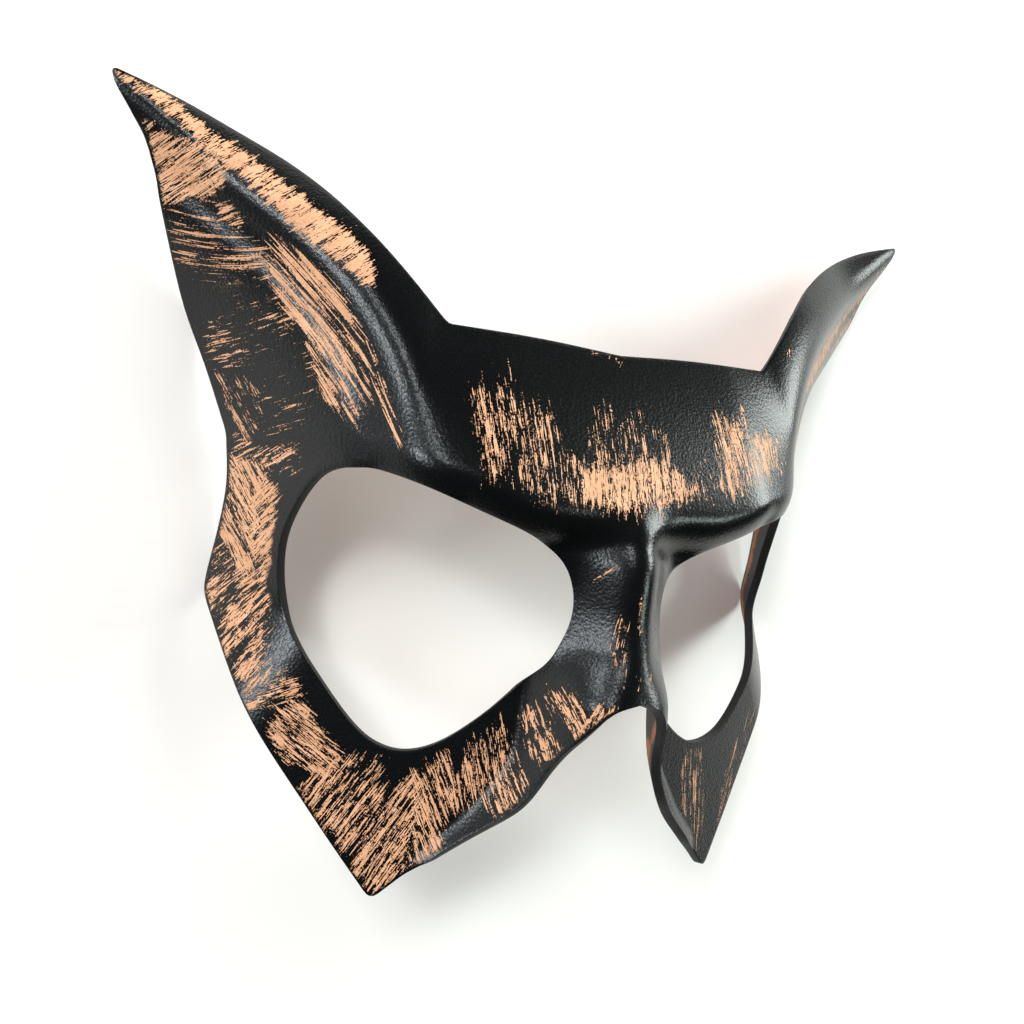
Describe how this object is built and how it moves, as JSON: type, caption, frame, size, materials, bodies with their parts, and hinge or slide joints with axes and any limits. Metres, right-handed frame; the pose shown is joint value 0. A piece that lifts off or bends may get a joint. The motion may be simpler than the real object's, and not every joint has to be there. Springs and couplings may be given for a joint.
{
  "type": "leather cat half-mask",
  "caption": "Moulded leather half-mask of a cat, with tall pointed ears, large eye holes, a short nose and pointed cheeks.",
  "frame": {"origin": "under the middle of the mask's outline, on the surface that it lies on", "axes": "+Z out of the face, +Y from the cheek points to the ears, +X across the face"},
  "size_m": [0.2008, 0.158, 0.0671],
  "materials": {
    "painted_leather": "black paint with a soft gloss, brushed thinly over natural tan leather, which shows in streaked patches; black cut edges; bare brown flesh side"
  },
  "bodies": {
    "root": {"mask_shell": "painted_leather"}
  },
  "joints": []
}
